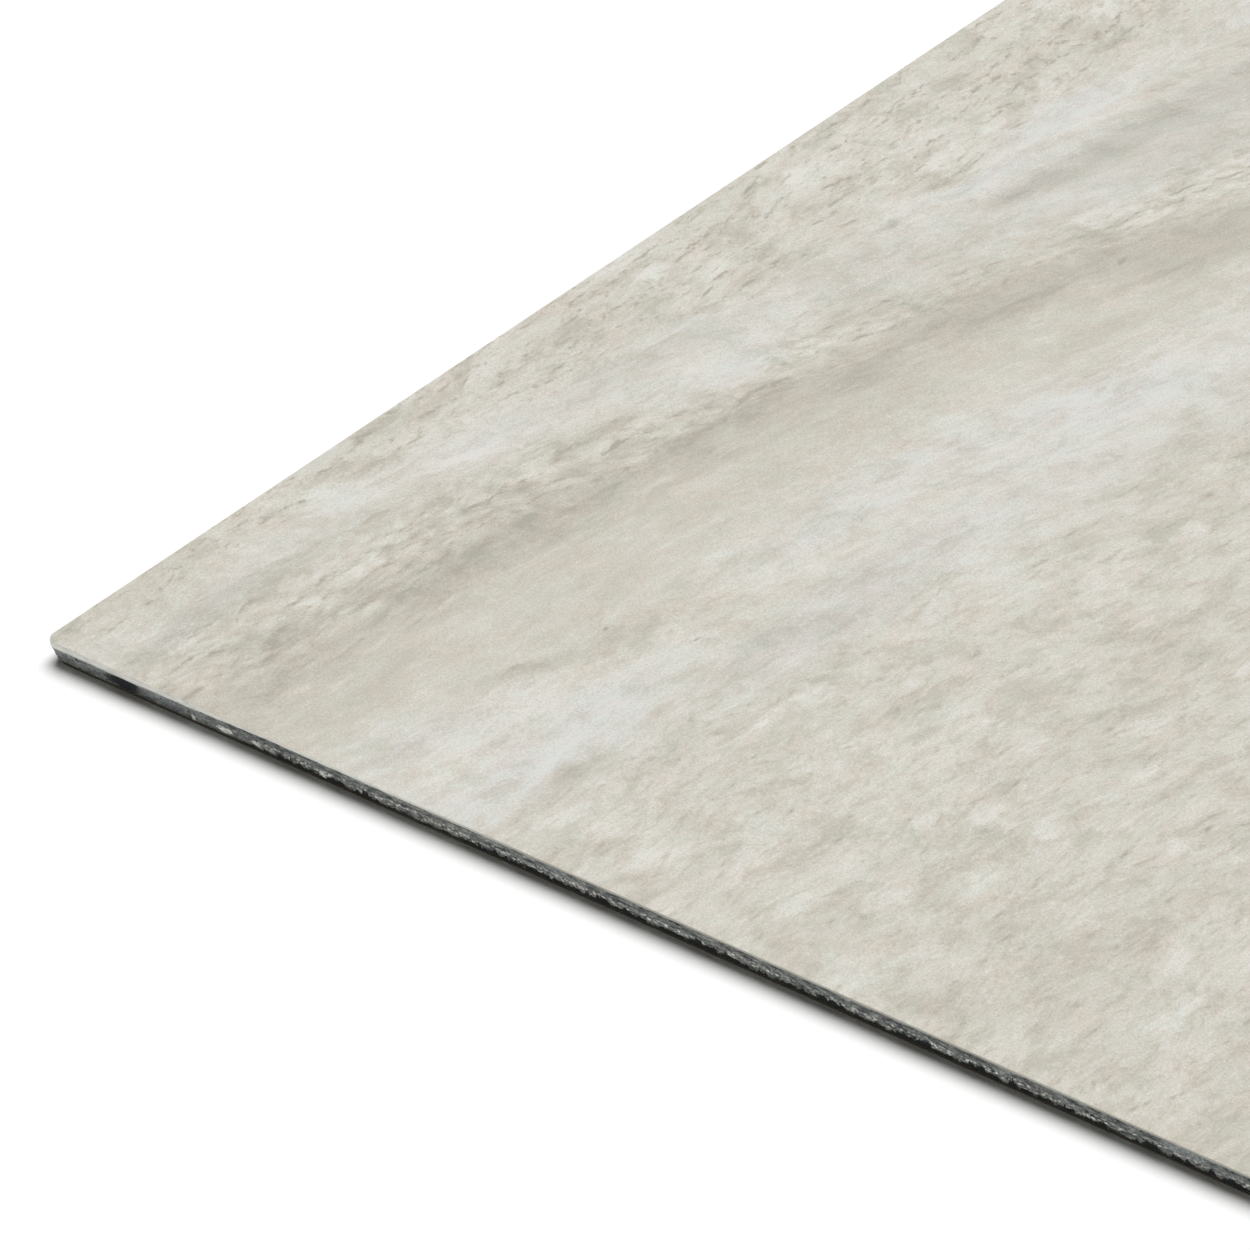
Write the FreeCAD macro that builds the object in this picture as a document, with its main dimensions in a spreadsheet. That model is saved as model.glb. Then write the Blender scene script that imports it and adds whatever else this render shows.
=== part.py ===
"""Peel and stick wall tile: a laminated vinyl sheet with a printed face and a paper-backed adhesive.

From the face down the tile is a printed face film, a dark filled-vinyl core, a coat of adhesive and the
release liner that is peeled off before the tile is stuck to the wall. The die comes down on the face, and
it leaves the edge undercut: the film is rolled over at the top and is the largest outline, the core narrows
towards the back, and its foot is broken away round. The adhesive and liner stop inside that foot, where the
back is flat, so nothing squeezes out between two tiles.

The tile lies face up. X runs across its width and Y along its length. The origin is the centre of the
liner's underside.
"""

import FreeCAD, Part
import Sketcher

import math
import os

SHEET = "Dimensions"
PARTS_FOLDER = "parts"

# Millimetres. Each name is also the cell's alias.
DIMENSIONS = [
    ("tile_width", 305, "across the face, the 12 inch side"),
    ("tile_length", 610, "along the face, the 24 inch side"),
    ("film_thickness", 0.25, "printed film with its clear wear coat"),
    ("core_thickness", 1.55, "filled vinyl"),
    ("adhesive_thickness", 0.1, "pressure-sensitive coat"),
    ("liner_thickness", 0.1, "siliconed release paper"),
    ("edge_undercut", 0.25, "how far the back is cut inside the face, on each side"),
    ("face_corner_radius", 1.1, "corner of the face, seen from above"),
    ("back_corner_radius", 1.4, "corner of the back, seen from below"),
    ("film_edge_round", 0.1, "roll of the film's upper edge"),
    ("core_foot_height", 0.45, "upright foot of the core, below the flare that the die leaves"),
    ("core_foot_round", 0.15, "broken lower edge of that foot"),
    ("coat_margin", 0.05, "flat back left bare between the core's round foot and the adhesive"),
    ("round_limit", 0.9, "the most that a round edge takes of its layer or its corner, as a share"),
]

FACE_WIDTH = f"{SHEET}.tile_width"
FACE_LENGTH = f"{SHEET}.tile_length"
FACE_RADIUS = f"{SHEET}.face_corner_radius"
FILM_ROUND = (
    f"min({SHEET}.film_edge_round; {SHEET}.round_limit * {SHEET}.film_thickness; "
    f"{SHEET}.round_limit * {SHEET}.face_corner_radius)"
)

BACK_WIDTH = f"{SHEET}.tile_width - 2 * {SHEET}.edge_undercut"
BACK_LENGTH = f"{SHEET}.tile_length - 2 * {SHEET}.edge_undercut"
BACK_RADIUS = f"{SHEET}.back_corner_radius"
FOOT_ROUND = (
    f"min({SHEET}.core_foot_round; {SHEET}.round_limit * {SHEET}.core_foot_height; "
    f"{SHEET}.round_limit * {SHEET}.back_corner_radius)"
)

COAT_INSET = f"({SHEET}.edge_undercut + {FOOT_ROUND} + {SHEET}.coat_margin)"
COAT_WIDTH = f"{SHEET}.tile_width - 2 * {COAT_INSET}"
COAT_LENGTH = f"{SHEET}.tile_length - 2 * {COAT_INSET}"

ADHESIVE_HEIGHT = f"{SHEET}.liner_thickness"
CORE_HEIGHT = f"{ADHESIVE_HEIGHT} + {SHEET}.adhesive_thickness"
FILM_HEIGHT = f"{CORE_HEIGHT} + {SHEET}.core_thickness"


def add_sheet(doc):
    """The spreadsheet of driving dimensions: a name, its value and what it is."""
    sheet = doc.addObject("Spreadsheet::Sheet", SHEET)
    for row, (name, value, meaning) in enumerate(DIMENSIONS, start=1):
        sheet.set(f"A{row}", name)
        sheet.set(f"B{row}", str(value))
        sheet.set(f"C{row}", meaning)
        sheet.setAlias(f"B{row}", name)
    doc.recompute()
    return sheet


def add_body(doc, label, height=None):
    """A body that starts at a height above the floor, given as an expression."""
    body = doc.addObject("PartDesign::Body", label)
    body.Label = label
    if height:
        body.setExpression("Placement.Base.z", height)
    return body


def add_outline(body, name, width, length, radius, height=None):
    """A rectangle with round corners, centred on the body's origin. Its sizes are expressions."""
    sketch = body.newObject("Sketcher::SketchObject", name)
    plane = next(f for f in body.Origin.OriginFeatures if f.Role == "XY_Plane")
    sketch.AttachmentSupport = (plane, [""])
    sketch.MapMode = "FlatFace"
    if height:
        sketch.setExpression("AttachmentOffset.Base.z", height)

    # A first shape of about the right form, which the constraints then bring to size.
    half_x, half_y, r = 100.0, 200.0, 1.0
    corners = [(half_x, -half_y), (half_x, half_y), (-half_x, half_y), (-half_x, -half_y)]
    quarter = math.pi / 2
    up = FreeCAD.Vector(0, 0, 1)
    sides, arcs = [], []
    for i, (x, y) in enumerate(corners):
        x_before, y_before = corners[i - 1]
        along = FreeCAD.Vector(x - x_before, y - y_before, 0).normalize()
        start = FreeCAD.Vector(x_before, y_before, 0) + along * r
        end = FreeCAD.Vector(x, y, 0) - along * r
        sides.append(sketch.addGeometry(Part.LineSegment(start, end)))
        centre = end + up.cross(along) * r
        circle = Part.Circle(centre, up, r)
        arcs.append(sketch.addGeometry(Part.ArcOfCircle(circle, (i - 1) * quarter, i * quarter)))

    START, END, CENTRE = 1, 2, 3
    for i in range(4):
        sketch.addConstraint(Sketcher.Constraint("Tangent", sides[i], END, arcs[i], START))
        sketch.addConstraint(Sketcher.Constraint("Tangent", arcs[i], END, sides[(i + 1) % 4], START))
    for i in (0, 2):
        sketch.addConstraint(Sketcher.Constraint("Horizontal", sides[i]))
    for i in (1, 3):
        sketch.addConstraint(Sketcher.Constraint("Vertical", sides[i]))
    for i in (1, 2, 3):
        sketch.addConstraint(Sketcher.Constraint("Equal", arcs[0], arcs[i]))
    origin_axis, origin_point = -1, 1
    sketch.addConstraint(
        Sketcher.Constraint("Symmetric", arcs[0], CENTRE, arcs[2], CENTRE, origin_axis, origin_point)
    )
    sizes = [
        ("width", Sketcher.Constraint("DistanceX", sides[3], START, sides[1], START, 2 * half_x), width),
        ("length", Sketcher.Constraint("DistanceY", sides[0], START, sides[2], START, 2 * half_y), length),
        ("radius", Sketcher.Constraint("Radius", arcs[0], r), radius),
    ]
    for label, constraint, expression in sizes:
        index = sketch.addConstraint(constraint)
        sketch.renameConstraint(index, label)
        sketch.setExpression(f"Constraints.{label}", expression)
    return sketch


def add_pad(body, name, outline, thickness):
    """A layer of even thickness on an outline."""
    pad = body.newObject("PartDesign::Pad", name)
    pad.Profile = outline
    pad.setExpression("Length", thickness)
    return pad


def round_face(doc, body, name, extreme, radius):
    """Rounds the edges of the body's lowest or highest face, as extreme picks it: min or max."""
    doc.recompute()
    faces = body.Tip.Shape.Faces
    number = extreme(range(len(faces)), key=lambda i: faces[i].CenterOfMass.z) + 1
    base = body.Tip
    fillet = body.newObject("PartDesign::Fillet", name)
    fillet.Base = (base, [f"Face{number}"])
    fillet.setExpression("Radius", radius)
    return fillet


def make_release_liner(doc):
    """Siliconed paper that the tile lies on, peeled off before use."""
    body = add_body(doc, "release_liner")
    outline = add_outline(body, "LinerOutline", COAT_WIDTH, COAT_LENGTH, BACK_RADIUS)
    add_pad(body, "LinerPad", outline, f"{SHEET}.liner_thickness")
    return body


def make_adhesive_coat(doc):
    """The adhesive between the liner and the core, on the flat of the back."""
    body = add_body(doc, "adhesive_coat", ADHESIVE_HEIGHT)
    outline = add_outline(body, "AdhesiveOutline", COAT_WIDTH, COAT_LENGTH, BACK_RADIUS)
    add_pad(body, "AdhesivePad", outline, f"{SHEET}.adhesive_thickness")
    return body


def make_vinyl_core(doc):
    """The dark sheet that gives the tile its body: a round-edged foot that flares out to the face."""
    body = add_body(doc, "vinyl_core", CORE_HEIGHT)
    foot = add_outline(body, "CoreFoot", BACK_WIDTH, BACK_LENGTH, BACK_RADIUS)
    add_pad(body, "CoreFootPad", foot, f"{SHEET}.core_foot_height")
    round_face(doc, body, "CoreFootRound", min, FOOT_ROUND)

    waist = add_outline(
        body, "CoreWaist", BACK_WIDTH, BACK_LENGTH, BACK_RADIUS, height=f"{SHEET}.core_foot_height"
    )
    face = add_outline(
        body, "CoreFace", FACE_WIDTH, FACE_LENGTH, FACE_RADIUS, height=f"{SHEET}.core_thickness"
    )
    flare = body.newObject("PartDesign::AdditiveLoft", "CoreFlare")
    flare.Profile = waist
    flare.Sections = [face]
    flare.Ruled = True
    return body


def make_face_film(doc):
    """The printed film under its wear coat, with the upper edge rolled over by the die."""
    body = add_body(doc, "face_film", FILM_HEIGHT)
    outline = add_outline(body, "FilmOutline", FACE_WIDTH, FACE_LENGTH, FACE_RADIUS)
    add_pad(body, "FilmPad", outline, f"{SHEET}.film_thickness")
    round_face(doc, body, "FilmEdgeRound", max, FILM_ROUND)
    return body


def check(doc, bodies):
    """Stops before anything is written if a feature failed or a solid isn't sound."""
    for item in doc.Objects:
        if "Invalid" in item.State or "Error" in item.State:
            raise RuntimeError(f"{item.Label} failed: {item.State}")
    for body in bodies:
        if body.Shape.isNull() or not body.Shape.isValid() or len(body.Shape.Solids) != 1:
            raise RuntimeError(f"{body.Label} isn't one sound solid")


def main():
    doc = FreeCAD.newDocument("WallTile")
    add_sheet(doc)
    bodies = [
        make_release_liner(doc),
        make_adhesive_coat(doc),
        make_vinyl_core(doc),
        make_face_film(doc),
    ]
    doc.recompute()
    check(doc, bodies)

    os.makedirs(PARTS_FOLDER, exist_ok=True)
    for body in bodies:
        body.Shape.exportStep(os.path.join(PARTS_FOLDER, f"{body.Label}.step"))
        box = body.Shape.BoundBox
        print(
            f"{body.Label}: {box.XLength:.3f} x {box.YLength:.3f} x {box.ZLength:.3f} mm "
            f"from z {box.ZMin:.3f}, {body.Shape.Volume:.1f} mm3"
        )


main()
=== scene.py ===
import math
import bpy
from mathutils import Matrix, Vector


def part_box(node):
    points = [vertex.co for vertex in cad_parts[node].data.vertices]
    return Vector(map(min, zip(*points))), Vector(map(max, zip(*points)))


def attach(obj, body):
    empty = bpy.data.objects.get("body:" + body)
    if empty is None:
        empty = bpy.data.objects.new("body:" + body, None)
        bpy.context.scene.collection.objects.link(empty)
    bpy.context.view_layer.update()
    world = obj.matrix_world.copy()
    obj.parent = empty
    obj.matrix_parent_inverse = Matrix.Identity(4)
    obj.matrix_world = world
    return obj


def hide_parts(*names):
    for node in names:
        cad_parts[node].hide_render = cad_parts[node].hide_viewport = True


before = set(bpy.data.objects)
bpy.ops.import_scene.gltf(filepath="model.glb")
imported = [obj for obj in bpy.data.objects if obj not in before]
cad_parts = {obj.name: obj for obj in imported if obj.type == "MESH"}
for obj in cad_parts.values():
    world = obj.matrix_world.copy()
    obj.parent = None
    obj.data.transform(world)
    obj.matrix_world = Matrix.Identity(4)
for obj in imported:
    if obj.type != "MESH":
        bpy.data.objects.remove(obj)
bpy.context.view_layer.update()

from types import SimpleNamespace

import bpy
import numpy as np
from mathutils import Vector, noise

MM = 0.001

# The tile's outline and layers, in millimetres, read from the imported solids.
film_low, film_high = (np.array(corner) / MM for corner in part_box("face_film"))
core_low, core_high = (np.array(corner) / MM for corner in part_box("vinyl_core"))
TILE_WIDTH, TILE_LENGTH = (film_high - film_low)[:2]
FACE_Z = film_high[2]
FILM_FOOT_Z = film_low[2]
CORE_FOOT_Z = core_low[2]
PHOTO_CORNER = film_low[:2]

# The die-cut edge, as the solids have it.
FACE_CORNER_RADIUS = 1.1
BACK_CORNER_RADIUS = 1.4
FILM_ROUND = 0.1
EDGE_UNDERCUT = 0.25
CORE_FLARE_FOOT = 0.65
CORE_ROUND = 0.15


def lerp(a, b, t):
    """The value that far from a to b."""
    return a + (b - a) * t


def ease(low, high, value):
    """0 below low, 1 above high, and a smooth step between them."""
    t = np.clip((np.asarray(value, float) - low) / (high - low), 0, 1)
    return t * t * (3 - 2 * t)


def wander(points, size, seed, octaves=3):
    """Smooth noise from about -1 to 1 at each point, with features of that size in millimetres."""
    size = np.broadcast_to(np.asarray(size, float), 3)
    shift = Vector((seed * 17.3, seed * -9.1, seed * 5.7))
    return np.array(
        [noise.fractal(Vector(p / size) + shift, 1.0, 2.0, octaves) for p in np.asarray(points, float)]
    )


def outline(inset, radius, steps_x, steps_y, steps_arc):
    """Points round the tile, anticlockwise from the photographed corner, and their outward directions."""
    half = np.array([TILE_WIDTH, TILE_LENGTH]) / 2 - inset
    points, normals = [], []
    for quarter, steps in enumerate((steps_x, steps_y, steps_x, steps_y)):
        turn = math.radians(90 * quarter)
        along = np.array([math.cos(turn), math.sin(turn)])
        out = np.array([math.sin(turn), -math.cos(turn)])
        reach_along = abs(half @ along) - radius
        reach_out = abs(half @ out)
        for t in np.arange(steps) / steps:
            points.append(out * reach_out + along * lerp(-reach_along, reach_along, t))
            normals.append(out)
        centre = out * (reach_out - radius) + along * reach_along
        for t in np.arange(steps_arc) / steps_arc:
            angle = t * math.pi / 2
            normal = out * math.cos(angle) + along * math.sin(angle)
            points.append(centre + normal * radius)
            normals.append(normal)
    return np.array(points), np.array(normals)


def new_piece(name, vertices, faces, materials, slots, node, smooth=True):
    """A mesh in metres that stands for a CAD node, with one material index for each face."""
    mesh = bpy.data.meshes.new(name)
    mesh.from_pydata((np.asarray(vertices) * MM).tolist(), [], faces)
    mesh.validate()
    for material in materials:
        mesh.materials.append(material)
    mesh.polygons.foreach_set("material_index", slots)
    mesh.polygons.foreach_set("use_smooth", [smooth] * len(mesh.polygons))
    mesh.update()
    piece = bpy.data.objects.new(name, mesh)
    bpy.context.scene.collection.objects.link(piece)
    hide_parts(node)
    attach(piece, "root")
    return piece


def band(lower, upper):
    """Quads between two rings of vertex numbers, wound so that they face outwards."""
    after = np.roll(lower, -1), np.roll(upper, -1)
    return np.stack([lower, after[0], after[1], upper], -1).tolist()


def cover(ring, facing_up):
    """One flat face that closes a ring."""
    face = list(ring) if facing_up else list(ring)[::-1]
    return [[int(i) for i in face]]


def linear(hex_colour):
    """An sRGB hex colour as linear red, green, blue and alpha."""
    channels = [int(hex_colour[i:i + 2], 16) / 255 for i in (0, 2, 4)]
    return [c / 12.92 if c <= 0.04045 else ((c + 0.055) / 1.055) ** 2.4 for c in channels] + [1.0]


def add(tree, kind, inputs=None, **settings):
    """Adds a node with its settings, and sets or links its inputs.

    A node that is given as an input lends its first output.
    """
    node = tree.nodes.new(kind)
    for name, value in settings.items():
        setattr(node, name, value)
    for name, value in (inputs or {}).items():
        if isinstance(value, bpy.types.Node):
            value = value.outputs[0]
        if isinstance(value, bpy.types.NodeSocket):
            tree.links.new(value, node.inputs[name])
        else:
            node.inputs[name].default_value = value
    return node


def new_material(name):
    """A material with no nodes yet, and its node tree."""
    material = bpy.data.materials.new(name)
    material.use_nodes = True
    material.node_tree.nodes.clear()
    return material, material.node_tree


def direction(azimuth, elevation):
    """The way from the tile to what stands at that azimuth and elevation in degrees, azimuth 0 being -Y."""
    a, e = math.radians(azimuth), math.radians(elevation)
    return Vector((math.sin(a) * math.cos(e), -math.cos(a) * math.cos(e), math.sin(e)))


def shape_curve(curve, points):
    """Gives a curve its points, each a pair from 0 to 1, and keeps it from overshooting them."""
    while len(curve.points) < len(points):
        curve.points.new(0.5, 0.5)
    for point, place in zip(curve.points, points):
        point.location = place
        point.handle_type = "AUTO_CLAMPED"


def shape_ramp(ramp, stops):
    """Gives a colour ramp its stops, each a place from 0 to 1 and a colour."""
    while len(ramp.elements) < len(stops):
        ramp.elements.new(0.5)
    for element, (place, colour) in zip(ramp.elements, stops):
        element.position = place
        element.color = colour


# The print's veins, each a list of points: millimetres up the tile from the photographed
# corner, millimetres in from its left side, half the vein's width, and how strongly it shows there.
WHITE_VEIN_LEFT = [
    (0, 4.0, 1.4, 0.5), (10, 5.6, 1.6, 0.6), (20, 6.2, 1.8, 0.5), (30, 6.8, 2.4, 0.8),
    (42, 9.0, 2.6, 0.7), (52, 12.0, 3.6, 0.8), (62, 15.5, 4.2, 1.0), (70, 15.5, 3.6, 0.8),
    (78, 15.2, 1.6, 0.8), (86, 15.0, 2.0, 0.6), (93, 13.8, 1.7, 1.0), (101, 17.4, 1.6, 0.9),
    (112, 17.0, 3.4, 0.9), (124, 16.5, 3.6, 0.8), (140, 18.0, 4.0, 0.6), (170, 26, 5.0, 0.7),
    (240, 44, 8.0, 0.9), (330, 36, 6.0, 0.8), (430, 28, 9.0, 0.6), (520, 47, 7.0, 1.0),
    (610, 68, 8.0, 0.7),
]
WHITE_SKIRT_LEFT = [
    (0, 6.0, 3.0, 0.0), (60, 12.0, 4.0, 0.3), (84, 19.0, 4.0, 0.5), (100, 22.5, 4.5, 0.7),
    (112, 26.0, 4.0, 0.8), (124, 28.0, 4.5, 0.7), (140, 32, 5.0, 0.6), (200, 50, 6.0, 0.6),
    (300, 52, 5.0, 0.4), (430, 40, 7.0, 0.7), (610, 84, 6.0, 0.6),
]
BLUE_VEIN_LEFT = [
    (0, 8.0, 1.4, 0.2), (12, 7.4, 1.2, 0.8), (20, 7.8, 1.3, 0.5), (34, 9.0, 1.5, 0.25),
    (50, 10.8, 2.0, 0.5), (61, 12.0, 2.0, 0.6), (74, 15.0, 1.4, 0.5), (84, 16.0, 1.6, 0.5),
    (92, 18.0, 1.5, 0.45), (102, 20.6, 1.3, 0.95), (112, 21.9, 2.0, 1.0), (122, 23.8, 2.3, 1.0),
    (134, 25.6, 3.0, 0.8), (170, 34, 4.0, 0.8), (240, 53, 4.0, 0.5), (330, 44, 4.5, 0.9),
    (430, 37, 4.0, 0.4), (520, 55, 4.5, 0.8), (610, 76, 4.0, 0.6),
]
PEBBLE_BAND = [
    (0, 12.6, 3.0, 0.7), (20, 13.5, 3.2, 1.0), (40, 16.0, 3.6, 1.0), (60, 19.4, 3.2, 1.0),
    (75, 22.0, 2.8, 0.8), (90, 25.0, 3.0, 0.5), (105, 30.0, 3.6, 0.9), (118, 33.0, 4.0, 1.0),
    (150, 44, 6.0, 0.8), (240, 60, 6.0, 0.9), (330, 52, 6.0, 0.7), (430, 52, 8.0, 1.0),
    (520, 72, 6.0, 0.8), (610, 90, 6.0, 0.9),
]
TAUPE_BAND = [
    (0, 17.2, 3.6, 0.7), (12, 17.4, 3.4, 0.8), (28, 18.8, 3.0, 0.9), (42, 20.8, 2.9, 0.9),
    (54, 22.4, 3.1, 1.0), (66, 25.4, 3.1, 0.9), (78, 27.6, 3.0, 0.9), (86, 29.4, 3.0, 1.0),
    (95, 32.4, 3.2, 0.85), (104, 36.4, 3.8, 0.8), (125, 46, 4.5, 0.7), (170, 60, 6.0, 0.8),
    (240, 70, 5.0, 0.6), (330, 62, 7.0, 0.9), (430, 64, 5.0, 0.5), (520, 86, 7.0, 0.9),
    (610, 100, 6.0, 0.8),
]
SMOOTH_ZONE = [
    (0, 25.0, 6.0, 1.0), (20, 27.0, 6.5, 1.0), (45, 30.0, 6.5, 1.0), (70, 33.5, 6.5, 1.0),
    (90, 39.0, 7.5, 1.0), (106, 44.0, 8.0, 1.0), (140, 60, 11.0, 1.0), (240, 82, 12.0, 1.0),
    (330, 76, 11.0, 1.0), (430, 82, 14.0, 1.0), (520, 102, 12.0, 1.0), (610, 116, 12.0, 1.0),
]
WHITE_VEIN_MAIN = [
    (0, 36.2, 6.4, 0.8), (9, 36.6, 6.2, 1.0), (19, 38.8, 5.7, 0.9), (29, 41.8, 5.2, 0.7),
    (39, 42.6, 5.8, 0.85), (49, 43.0, 7.0, 0.95), (61, 44.6, 7.6, 1.0), (73, 46.8, 6.8, 1.0),
    (82, 48.4, 6.2, 1.0), (92, 51.0, 6.4, 0.9), (120, 62, 8.0, 0.9), (180, 78, 8.0, 0.8),
    (240, 94, 11.0, 1.0), (330, 90, 8.0, 0.7), (430, 98, 12.0, 1.0), (520, 120, 9.0, 0.8),
    (610, 134, 11.0, 0.9),
]
BLUE_SHADE_MAIN = [
    (0, 46.0, 2.0, 0.0), (26, 45.0, 2.6, 0.5), (40, 46.4, 3.2, 0.9), (57, 47.4, 3.0, 0.8),
    (70, 50.6, 3.0, 0.5), (88, 56.0, 4.0, 0.5), (180, 88, 5.0, 0.7), (240, 106, 5.0, 0.4),
    (330, 100, 6.0, 0.9), (430, 110, 5.0, 0.5), (520, 130, 5.0, 0.9), (610, 146, 5.0, 0.5),
]
WHITE_VEIN_FAR = [
    (0, 128, 9.0, 0.8), (60, 136, 7.0, 0.5), (120, 150, 10.0, 0.9), (200, 176, 8.0, 0.7),
    (300, 190, 12.0, 1.0), (400, 186, 8.0, 0.7), (500, 206, 10.0, 0.9), (610, 230, 9.0, 0.8),
]
TAUPE_BAND_FAR = [
    (0, 112, 6.0, 0.7), (60, 122, 5.0, 0.4), (120, 134, 7.0, 0.8), (200, 158, 8.0, 1.0),
    (300, 170, 6.0, 0.6), (400, 168, 8.0, 0.9), (500, 186, 6.0, 0.6), (610, 212, 8.0, 0.9),
]
BLUE_VEIN_FAR = [
    (0, 212, 4.0, 0.7), (80, 226, 5.0, 0.9), (160, 242, 4.0, 0.6), (260, 262, 6.0, 0.9),
    (360, 258, 5.0, 0.7), (480, 270, 6.0, 1.0), (610, 292, 5.0, 0.7),
]
WHITE_VEIN_RIGHT = [
    (0, 198, 8.0, 0.6), (80, 214, 7.0, 0.9), (160, 232, 9.0, 0.7), (260, 250, 8.0, 1.0),
    (360, 246, 10.0, 0.7), (480, 258, 8.0, 0.9), (610, 280, 9.0, 0.8),
]

# Single streaks by the photographed corner: both ends in millimetres in and up from it, half the width, and
# how many steps of grey lighter or darker they are.
STREAKS = [
    (7.6, 35.0, 11.0, 45.5, 0.7, 9.0),
    (50.2, 16.0, 50.8, 31.0, 0.4, 8.0),
    (55.0, 2.0, 55.8, 9.0, 0.5, 6.0),
    (29.4, 12.5, 34.6, 25.5, 0.8, -9.0),
    (43.3, 4.5, 43.6, 14.5, 1.0, -13.0),
    (20.9, 40.0, 22.8, 66.0, 0.6, -7.0),
    (17.0, 6.0, 19.4, 31.0, 0.5, -6.0),
    (26.2, 66.0, 29.0, 86.0, 0.5, -7.0),
    (29.2, 80.0, 33.4, 96.5, 0.4, -9.0),
    (33.4, 86.0, 40.6, 107.0, 0.45, -7.0),
    (20.2, 96.5, 21.0, 107.0, 0.5, -9.0),
]

# Small round marks there: in, up, radius across the tile, and steps of grey.
MARKS = [
    (7.2, 14.0, 0.7, -10.0),
    (15.0, 90.0, 0.6, -18.0),
    (21.9, 112.0, 0.9, -7.0),
    (24.0, 121.5, 1.1, -7.0),
    (34.0, 97.0, 0.2, -45.0),
    (33.0, 28.0, 0.16, -50.0),
    (39.5, 30.0, 0.16, -50.0),
    (10.0, 101.5, 0.14, -55.0),
    (85.5, 33.0, 0.18, -45.0),
    (76.5, 25.0, 1.4, 9.0),
    (60.6, 8.0, 1.5, 8.0),
]

# How far to the right the stone's beds have leaned, and the border left of which they stand upright instead.
# Each point is in millimetres up the tile and to the right.
BED_LEAN = [
    (0, 0), (30, 1.5), (50, 4), (70, 8), (95, 14), (112, 18), (140, 27), (200, 42), (270, 50), (340, 42),
    (420, 40), (500, 56), (610, 84),
]
UPRIGHT_BORDER = [
    (0, 3), (30, 5.5), (60, 11), (80, 13.5), (95, 15), (112, 17.5), (140, 20), (200, 33), (270, 36),
    (340, 30), (430, 25), (520, 40), (610, 58),
]

# The most millimetres that those two curves hold, and the most of a vein's half width.
LEAN_RANGE = 100.0
WIDEST_VEIN = 20.0

# The print is frayed in two sizes, slow bends of some 10 mm and quick ones of 2 mm, mostly along the beds.
# Each has its size and its reach, in millimetres across the tile, up it and through it.
FRAYS = [
    ((8, 20, 8), (1.3, 3.0, 0)),
    ((1.7, 4.0, 1.7), (0.5, 1.5, 0)),
]

# Tone is counted in steps of 8-bit grey. These are the inks at some tones, and the tone of the bare print.
INK_LEVELS = [
    (174, "aeaa9f"), (190, "bebbaf"), (198, "c6c3b7"), (206, "cecbc0"), (210, "d2cfc5"), (214, "d6d4ca"),
    (218, "dad8d0"), (224, "e0e0d9"), (230, "e6e6e0"),
]
BARE_TONE = 209.0


def beds(tree, at, size_x, size_y, detail, roughness, to_right=0.0):
    """Noise about zero that follows the beds. Its patches have that size in mm, across and along them."""
    squeezed = add(
        tree,
        "ShaderNodeVectorMath",
        {0: at.bedded, 1: (1 / size_x, 1 / size_y, 1), 2: (to_right / size_x, 0, 0)},
        operation="MULTIPLY_ADD",
    )
    patches = add(
        tree,
        "ShaderNodeTexNoise",
        {"Vector": squeezed, "Scale": 1.0, "Detail": detail, "Roughness": roughness},
    )
    return add(tree, "ShaderNodeMath", {0: patches, 1: 0.5}, operation="SUBTRACT")


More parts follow.
